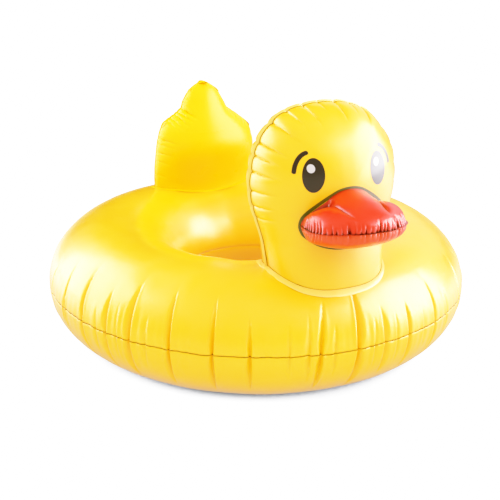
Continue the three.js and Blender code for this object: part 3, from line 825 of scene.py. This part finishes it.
def chord_height(outline, x, z, directions=40):
    """Height of an inflated skin over a point inside a flat outline, for a full round section. It is worked out
    from the chords through the point: the harmonic mean of the products of their two ends."""
    start = outline[None, :, :]
    end = np.roll(outline, -1, 0)[None, :, :]
    place = np.stack([x.ravel(), z.ravel()], -1)[:, None, :]
    total = np.zeros(place.shape[0])
    for step in range(directions):
        turn = math.pi * step / directions
        ahead = np.array([math.cos(turn), math.sin(turn)])
        across = np.array([-ahead[1], ahead[0]])
        start_off, end_off = (start - place) @ across, (end - place) @ across
        start_on, end_on = (start - place) @ ahead, (end - place) @ ahead
        crossing = start_off * end_off <= 0
        gap = np.where(crossing, end_off - start_off, 1.0)
        gap = np.where(np.abs(gap) < 1e-9, 1e-9, gap)
        reach = (start_on * end_off - end_on * start_off) / gap
        ahead_end = np.min(np.where(crossing & (reach > 0), reach, 9.0), 1)
        behind_end = np.min(np.where(crossing & (reach <= 0), -reach, 9.0), 1)
        total += 1 / np.maximum(ahead_end * behind_end, 1e-9)
    return np.sqrt(directions / total / 2).reshape(x.shape)


class Plume(Pillow):
    """A pillow of any outline, whose skin follows the outline's own width at each point."""

    weld_share = 0.25
    heights = None

    def bulge(self, x, z, share, side):
        if self.heights is None:
            below = self.seam[[-1, 0]] - [0, 0.25]
            heights = chord_height(np.vstack([self.seam[::5], self.seam[-1:], below]), x, z)
            heights[:, -1] = 0
            for _ in range(6):
                heights[1:-1] = (heights[:-2] + 2 * heights[1:-1] + heights[2:]) / 4
            self.heights = heights
        return self.heights * self.depth(z, side)


def head_seam_y(z):
    return HEAD_SEAM_Y - HEAD_FOOT_LEAN * (1 - smoothstep(z, HEAD_FOOT, HEAD_CENTRE))


def head_roundness(z):
    return np.interp(z, *HEAD_ROUNDNESS)


def head_depth(z, side):
    return np.interp(z, *(HEAD_BACK if side > 0 else HEAD_FRONT))


def tail_depth(z, side):
    """Depth of the front or the back, as a share of the full round height."""
    if side > 0:
        return 0.23 + 0.25 * smoothstep(z, TAIL_FOOT, 560 * MM)
    return 0.36 + 0.3 * smoothstep(z, TAIL_FOOT, 500 * MM)


def make_head():
    outline = [(-x, z) for x, z in HEAD_OUTLINE] + HEAD_OUTLINE[-2::-1]
    head = Pillow(outline, HEAD_ROWS, HEAD_CENTRE, head_seam_y, head_roundness, head_depth, 21)
    for turn, reach, depth, width in HEAD_CREASES:
        direction = np.array([math.sin(math.radians(turn)), math.cos(math.radians(turn))])
        edge = direction * HEAD_CREASE_RADIUS + [0, HEAD_CENTRE / MM]
        head.pinch(*edge, *(edge - direction * reach * HEAD_CREASE_SHARE), depth, width)
    face = make_panel("head_face_panel", head.panel(-1), "yellow")
    make_panel("head_back_panel", head.panel(1), "yellow", valve="head_valve")
    # The flange look's lighter yellow is painted light shining through the thin flange.
    head.flange("head_weld_flange", HEAD_FLANGE, "flange")
    # The dark seam beads and the foot band's line are partly painted shade of the crevices along them.
    head.seam_beads("head_seam", HEAD_BEAD, "weld")
    # The foot band also takes the flange look's painted light.
    head.foot_band("head_foot_band", HEAD_MARGIN, HEAD_MARGIN_RISE, "flange", "head_base_panel", "weld")
    return face


def make_tail():
    outline = [(-x, z) for x, z in TAIL_LEFT] + [TAIL_TOP] + TAIL_RIGHT[::-1]
    tail = Plume(outline, TAIL_ROWS, TAIL_CENTRE, lambda z: TAIL_SEAM_Y + 0 * z, lambda z: 2.0 + 0 * z,
                 tail_depth, 41)
    for crease in TAIL_CREASES:
        tail.pinch(*crease)
    make_panel("tail_front_panel", tail.panel(-1), "lemon")
    make_panel("tail_back_panel", tail.panel(1), "lemon", valve="tail_valve")
    tail.flange("tail_weld_flange", TAIL_FLANGE, "lemon")
    tail.foot_band("tail_foot_band", TAIL_MARGIN, TAIL_MARGIN_RISE, "lemon", "tail_base_panel", "lemon")


# ---------------------------------------------------------------- printed face

class Face:
    """The finished face, found by looking at it along +Y."""

    def __init__(self, skin):
        self.tree = BVHTree.FromPolygons([v.co for v in skin.data.vertices],
                                         [list(p.vertices) for p in skin.data.polygons])

    def points(self, flat, proud):
        """Points of the face over the (x, z) points of an array, lifted off it."""
        found = []
        for x, z in flat.reshape(-1, 2):
            place, normal, _, _ = self.tree.ray_cast(Vector((x, -1.5, z)), Vector(BACK))
            found.append(place + normal * proud)
        return np.array(found).reshape(*flat.shape[:-1], 3)


def print_band(name, face, inner, outer, look, closed=False, proud=PRINT_PROUD, steps=5):
    """A printed line on the face between two rows of (x, z) points."""
    across = np.linspace(0, 1, steps)[None, :, None]
    flat = inner[:, None, :] * (1 - across) + outer[:, None, :] * across
    finish_piece(sheet(name, face.points(flat, proud), wrap_rows=closed, thickness=INK), look, BODY)


def print_ellipse(name, face, centre, half, look, tilt=0.0, proud=PRINT_PROUD):
    """A printed spot on the face: rings from its centre out to an ellipse."""
    turns = np.linspace(0, 2 * math.pi, 72, endpoint=False)
    x, z = half[0] * MM * np.cos(turns), half[1] * MM * np.sin(turns)
    turned = np.stack([x * math.cos(tilt) - z * math.sin(tilt), x * math.sin(tilt) + z * math.cos(tilt)], -1)
    print_band(name, face, centre + 0 * turned, centre + turned, look, closed=True, proud=proud, steps=9)


def stroke(points, width):
    """The two sides of a brush stroke with round ends along a curve."""
    path = spline(points, 40)
    ends = np.linspace(0, 1, len(path))
    taper = np.sqrt(np.clip(1 - np.clip(np.abs(ends - 0.5) * 2 - 0.86, 0, 1) ** 2 / 0.14 ** 2, 0.0, 1))
    half = -right_of(path) * (width / 2 * taper)[:, None]
    return path - half, path + half


def make_print(face):
    shift = np.array([PRINT_SHIFT, 0])
    for label, sign in (("right", -1), ("left", 1)):
        eye = (np.array(EYE_PLACE) * [sign, 1] + shift) * MM
        glint = eye + np.array(GLINT_OFFSET) * MM
        print_ellipse(f"{label}_eye_print", face, eye, EYE_HALF, "ink", tilt=EYE_TILT * sign)
        print_ellipse(f"{label}_eye_glint_print", face, glint, GLINT_HALF, "white_ink", proud=GLINT_PROUD)
        sides = stroke((np.array(BROW) * [sign, 1] + shift) * MM, BROW_WIDTH * MM)
        print_band(f"{label}_brow_print", face, *sides[::-sign], "ink")
    edge = beak_outline()
    outer, inner = (edge + right_of(edge, closed=True) * out for out in (OUTLINE_OUT, OUTLINE_IN))
    print_band("beak_outline_print", face, outer, inner, "olive_ink", closed=True)


# ---------------------------------------------------------------- beak

def beak_outline():
    """Closed edge of the beak on the face, from the left corner over the top, right corner and bottom."""
    half = np.array(BEAK_OUTLINE, float)
    full = np.vstack([half, half[-2:0:-1] * [-1, 1]])
    curve = spline(np.vstack([full[-3:], full, full[:4]]) * MM, 4 * BEAK_STEPS)
    middle = len(curve) // 2
    away = np.linalg.norm(curve - full[0] * MM, axis=1)
    first, last = np.argmin(away[:middle]), middle + np.argmin(away[middle:])
    loop = spline(curve[first:last + 1:4], 2 * BEAK_STEPS + 1)[:-1]
    corner = int(np.argmax(loop[:, 0]))
    return np.roll(loop[::-1], corner + 1 - len(loop), axis=0)


def beak_rim(turn, out, corner_y):
    """Seam of the bill, from the left corner round the tip to the right corner."""
    forward = np.clip(np.sin(turn), 0, 1)
    swell = 1 + BEAK_SWELL * 4 * forward * (1 - forward)
    across = np.cos(turn)
    x = (BEAK_HALF_WIDTH + out) * np.sign(across) * np.abs(across) ** (2 / BEAK_ROUNDNESS) * swell
    y = corner_y - (BEAK_LENGTH + out) * forward ** (2 / BEAK_ROUNDNESS)
    return np.stack([x, y, BEAK_CORNER + BEAK_TIP_LIFT * forward], -1)


def rim_wrinkles():
    """Fine wrinkles across the bill's seam: arc position, reach, depth and width."""
    random = np.random.default_rng(31)
    wrinkles = []
    place = -0.46
    while place < 0.46:
        gap = random.uniform(0.009, 0.016)
        wrinkles.append((place, random.uniform(18, 36) * MM, random.uniform(4.0, 9.0) * MM, 0.3 * gap))
        place += gap
    return wrinkles


def bill_crown(side, x, share, across):
    """Height of the bill's skin over the straight line from the face to the seam."""
    corners = np.clip(across * 3, 0, 1) ** 0.6
    if side < 0:
        return BILL_HEIGHT * share ** 0.75 * np.sqrt(np.clip(1 - share ** 6, 0, 1)) * corners
    outer = smoothstep(np.abs(x), LOBE_FROM, LOBE_TO)
    blunt = np.sqrt(np.clip(1 - share ** 8, 0, 1))
    lobe = LOBE_HEIGHT * np.sin(math.pi * share ** 1.4) ** 0.8
    dip = LOBE_DIP * np.exp(-((share - LOBE_DIP_AT) / LOBE_DIP_AT) ** 2)
    crown = (1 - outer) * BILL_HEIGHT * share * blunt + outer * (lobe - dip)
    line = TUCK_LINE - TUCK_DRIFT * share ** 1.3
    fade = smoothstep(share, 0.0, 0.08) * (1 - smoothstep(share, 0.5, 0.92))
    for sign in (-1, 1):
        away = np.hypot(x - sign * line, 0.6 * MM)
        crown = crown - TUCK_DEPTH * fade * np.exp(-away / np.where(sign * x < line, TUCK_INSIDE, TUCK_OUTSIDE))
    return crown * corners


def rim_press(arc, distance):
    """How far the wrinkles and the two tucks press the skin in, by the place along the seam and off it."""
    press = np.zeros(distance.shape)
    for place, reach, depth, width in rim_wrinkles():
        press -= depth * np.clip(1 - distance / reach, 0, 1) ** 0.8 * np.exp(-np.abs(arc - place) / width)
    for place in (-RIM_TUCK_AT, RIM_TUCK_AT):
        fade = np.clip(1 - distance / RIM_TUCK_REACH, 0, 1)
        press -= RIM_TUCK_DEPTH * fade * np.exp(-np.hypot(arc - place, 0.7 * MM) / (6 * MM))
    return press


def bill_panel(side, face):
    """Grid of the upper (side 1) or lower bill: rows from corner to corner, columns from the face out."""
    turn = np.linspace(0, math.pi, BEAK_STEPS)
    edge = beak_outline()
    half = edge[:BEAK_STEPS] if side > 0 else np.roll(edge[::-1], 1, axis=0)[:BEAK_STEPS]
    base = face.points(half, 0.5 * MM)
    corner_y = base[0, 1]
    rim = beak_rim(turn, 0, corner_y)
    share = 1 - (1 - np.linspace(0, 1, BEAK_COLUMNS)[None, :]) ** 1.3
    points = base[:, None, :] * (1 - share[..., None]) + rim[:, None, :] * share[..., None]
    across = np.sin(turn)[:, None]
    crown = bill_crown(side, points[..., 0], share, across)
    points[..., 2] += side * crown
    points[..., 1] -= CROWN_FORWARD * np.maximum(crown, 0)
    normals = grid_normals(points)
    normals = normals * np.where(normals[..., 2:3] * side < 0, -1.0, 1.0)
    normals[:, -1] = normals[:, -3]
    arc = arc_length(rim)
    distance = np.linalg.norm(points - points[:, -1:], axis=-1)
    press = rim_press((arc - arc[-1] / 2)[:, None], distance)
    press = press * np.clip(across * 5, 0, 1) * (1.0 if side > 0 else LOWER_PRESS)
    outward = unit((rim - [0, corner_y, 0]) * [1, 1, 0])
    near_rim = np.exp(-distance / RIM_BLEND)[..., None]
    points = points + (normals * (1 - near_rim) + outward[:, None, :] * near_rim) * press[..., None]
    flange = [beak_rim(turn, reach, corner_y) + outward * (press[:, -1] * follow)[:, None]
              for reach, follow in BEAK_FLANGE]
    points = np.concatenate([points, np.stack(flange, 1)], 1)
    points[:, -3:, 2] += side * 0.2 * MM
    return points if side < 0 else points[::-1]


def make_beak(face):
    make_panel("beak_upper_panel", bill_panel(1, face), "red", 70)
    make_panel("beak_lower_panel", bill_panel(-1, face), "orange", 70)


# ---------------------------------------------------------------- valves

def valve_frame(name):
    """Matrix of a valve's own frame, from its joints."""
    joints = {joint["name"]: joint for joint in frame["joints"]}
    normal = Vector(joints[f"{name}_pull_out"]["axis"]).normalized()
    side = -Vector(joints[f"{name}_plug_open"]["axis"]).normalized()
    along = side.cross(normal)
    root = Vector(joints[f"{name}_plug_open"]["pos_m"])
    matrix = Matrix((along, side, normal)).transposed().to_4x4()
    matrix.translation = root + along * TETHER_REACH - normal * TETHER_HEIGHT
    return matrix


def seat_valve(obj, matrix):
    """Presses a skin flat round a valve and opens the hole that the stem passes through."""
    inverse = matrix.inverted()

    def radius_of(place):
        local = inverse @ place
        return math.hypot(local.x, local.y) if abs(local.z) < SEAT_REACH else math.inf

    with opened(obj) as work:
        for _ in range(2):
            near = [edge for edge in work.edges if all(radius_of(v.co) < 1.2 * SEAT_REACH for v in edge.verts)]
            bmesh.ops.subdivide_edges(work, edges=near, cuts=1, use_grid_fill=True)
        around = [v for v in work.verts if radius_of(v.co) < 1.1 * SEAT_REACH]
        for _ in range(6):
            bmesh.ops.smooth_vert(work, verts=around, factor=0.5, use_axis_x=True, use_axis_y=True,
                                  use_axis_z=True)
        for v in around:
            local = inverse @ v.co
            local.z *= float(smoothstep(math.hypot(local.x, local.y), SEAT_FLAT, SEAT_REACH))
            v.co = matrix @ local
        inside = [face for face in work.faces if radius_of(face.calc_center_median()) < VALVE_HOLE]
        bmesh.ops.delete(work, geom=inside, context="FACES")
        for v in work.verts:
            radius = radius_of(v.co)
            if v.is_boundary and radius < 1.6 * VALVE_HOLE:
                local = inverse @ v.co
                v.co = matrix @ Vector((local.x * VALVE_HOLE / radius, local.y * VALVE_HOLE / radius, 0))


def rounded(profile, reach=0.25):
    """The profile in metres, with its inner corners rounded off."""
    points = np.array(profile, float)
    smooth = [points[0]]
    for before, corner, after in zip(points, points[1:], points[2:]):
        start, end = (corner + way * min(reach / np.linalg.norm(way), 0.35)
                      for way in (before - corner, after - corner))
        smooth += [start, (start + 2 * corner + end) / 4, end]
    return np.array(smooth + [points[-1]]) * MM


def lathe(name, profile, matrix, closed):
    """A turned piece. The profile is a closed loop, or runs from axis to axis."""
    radius, height = rounded(profile).T
    turns = np.linspace(0, 2 * math.pi, 72, endpoint=False)[:, None]
    points = np.stack([radius * np.cos(turns), radius * np.sin(turns), height + 0 * turns], -1)
    obj = mesh_object(name, points.reshape(-1, 3), grid_faces(len(turns), len(radius), True, closed))
    weld(obj, 0.002 * MM)
    face_outward(obj)
    obj.data.transform(matrix)
    return obj


def strap(root_x, end_x, half_width, low, high, matrix):
    """A flat strap with a round end towards -X, lying along X."""
    turns = np.linspace(math.pi / 2, 3 * math.pi / 2, 17)
    outline = [(root_x + half_width * math.cos(t), half_width * math.sin(t)) for t in turns]
    outline += [(end_x, -half_width), (end_x, half_width)]
    count = len(outline)
    points = [(x, y, z) for z in (low, high) for x, y in outline]
    faces = [tuple(range(count)), tuple(range(count, 2 * count))]
    faces += [(n, (n + 1) % count, (n + 1) % count + count, n + count) for n in range(count)]
    obj = mesh_object("strap", np.array(points) * MM, faces)
    face_outward(obj)
    obj.data.transform(matrix)
    return obj


def unite(obj, other):
    union = obj.modifiers.new("union", "BOOLEAN")
    union.operation = "UNION"
    union.object = other
    apply_modifiers(obj)
    bpy.data.objects.remove(other)


def make_valve(name, panel_look):
    matrix = valve_frame(name)
    for kept in ("flange", "flap"):
        paint(frame["nodes"][f"{name}_{kept}"], "valve")
    for part, label, profile, closed, bar in (("stem", "tube", STEM_PROFILE, True, LUG),
                                              ("plug", "cap", PLUG_PROFILE, False, TETHER)):
        obj = lathe(f"{name}_{part}_{label}", profile, matrix, closed)
        unite(obj, strap(*bar, matrix))
        shade_smooth(obj, 40)
        finish_piece(obj, "valve", f"{name}_{part}", f"{name}_{part}")
    ring = lathe(f"{name}_weld_ring", WELD_RING_PROFILE, matrix, True)
    shade_smooth(ring, 60)
    finish_piece(ring, panel_look, BODY)


# ---------------------------------------------------------------- stage

def looking(place, aim):
    """Matrix of a camera or a light at one place that looks at another."""
    turn = (Vector(aim) - Vector(place)).to_track_quat("-Z", "Y")
    return Matrix.Translation(place) @ turn.to_matrix().to_4x4()


def make_camera():
    camera = link(bpy.data.objects.new("camera", bpy.data.cameras.new("camera")))
    camera.data.lens = CAMERA_LENS
    camera.data.sensor_width = CAMERA_SENSOR
    centre = Vector((0, RING_Y, 0))
    straight = looking(Vector(CAMERA_AT) + centre, Vector(CAMERA_AIM) + centre)
    camera.matrix_world = straight @ Matrix.Rotation(CAMERA_ROLL, 4, "Z")
    bpy.context.scene.camera = camera


def softbox(name, place, width, height, radiance, glossy):
    """A light that gives either soft light or the highlights, so that each can have its own size."""
    light = bpy.data.lights.new(name, "AREA")
    light.shape = "RECTANGLE"
    light.size = width
    light.size_y = height
    light.energy = radiance * math.pi * width * height
    obj = link(bpy.data.objects.new(name, light))
    obj.matrix_world = looking(place, LAMP_AIM)
    obj.visible_diffuse = not glossy
    obj.visible_glossy = glossy


def make_world():
    """White to the camera, and an even soft light that leaves the highlights to the softboxes."""
    world = bpy.data.worlds.new("studio")
    bpy.context.scene.world = world
    world.use_nodes = True
    world.cycles_visibility.glossy = False
    tree = world.node_tree
    seen = add_node(tree, "LightPath", {}, "Is Camera Ray")
    background = tree.nodes["Background"].inputs
    background["Color"].default_value = (1, 1, 1, 1)
    tree.links.new(multiply_add(tree, seen, FLOOR_WHITE - WORLD_LIGHT, WORLD_LIGHT), background["Strength"])


def glow_by_lamps(tree):
    """Strength that rises towards the foot of each side lamp."""
    place = tree.nodes.new("ShaderNodeTexCoord").outputs["Object"]
    left, right = (add_node(tree, "VectorMath", {0: place, 1: (*lamp[:2], 0)}, "Value", operation="DISTANCE")
                   for lamp in (LEFT_LAMP, RIGHT_LAMP))
    nearest = add_node(tree, "Math", {0: left, 1: right}, operation="MINIMUM")
    return map_range(tree, nearest, GLOW_REACH, (FLOOR_GLOW, FLOOR_GLOSS), interpolation_type="SMOOTHSTEP")


def floor_shader():
    """Over-exposed white to the camera with a thin contact shadow, and a plain pale floor to the light."""
    material = bpy.data.materials.new("pale_floor")
    material.cycles.emission_sampling = "NONE"
    material.use_nodes = True
    tree = material.node_tree
    tree.nodes.clear()
    bounce = add_node(tree, "BsdfDiffuse", {"Color": FLOOR_PALE})
    closed = map_range(tree, open_sky(tree, CONTACT_REACH, samples=16), CONTACT_SHARES, (1.0, 0.0))
    seen = add_node(tree, "Emission",
                    {"Strength": multiply_add(tree, closed, CONTACT_SHADE - FLOOR_WHITE, FLOOR_WHITE)})
    mirrored = add_node(tree, "Emission", {"Strength": glow_by_lamps(tree)})
    path = tree.nodes.new("ShaderNodeLightPath").outputs
    to_camera = add_node(tree, "MixShader", {"Fac": path["Is Camera Ray"], 1: bounce, 2: seen})
    to_gloss = add_node(tree, "MixShader", {"Fac": path["Is Glossy Ray"], 1: to_camera, 2: mirrored})
    tree.links.new(to_gloss, tree.nodes.new("ShaderNodeOutputMaterial").inputs["Surface"])
    return material


def set_film_curve():
    settings = bpy.context.scene.view_settings
    settings.view_transform = "Standard"
    settings.use_curve_mapping = True
    mapping = settings.curve_mapping
    mapping.use_clip = False
    mapping.extend = "HORIZONTAL"
    for curve in mapping.curves[:3]:
        curve.points[-1].location = (SHOULDER_END, SHOULDER_END)
    every, blue = mapping.curves[3], mapping.curves[2]
    every.points[-1].location = (SHOULDER_END, 1.0)
    for curve, places in ((every, SHOULDER), (blue, BLUE_TOE)):
        for light, level in places:
            curve.points.new(light, level)
    mapping.update()


def make_stage():
    corners = [(-FLOOR_HALF, -FLOOR_HALF, 0), (FLOOR_HALF, -FLOOR_HALF, 0), (FLOOR_HALF, FLOOR_HALF, 0),
               (-FLOOR_HALF, FLOOR_HALF, 0)]
    floor = mesh_object("floor", corners, [(0, 1, 2, 3)])
    floor.data.materials.append(floor_shader())
    make_world()
    for lamp in SOFTBOXES:
        softbox(*lamp)
    sun = bpy.data.lights.new("overhead", "SUN")
    sun.energy = SUN_STRENGTH
    sun.angle = math.radians(SUN_DEGREES)
    link(bpy.data.objects.new("overhead", sun)).visible_glossy = False
    set_film_curve()


make_camera()
make_ring()
FACE = Face(make_head())
make_print(FACE)
make_beak(FACE)
make_tail()
for valve_name, valve_look in (("ring_valve", "yellow"), ("head_valve", "yellow"), ("tail_valve", "lemon")):
    make_valve(valve_name, valve_look)
make_stage()
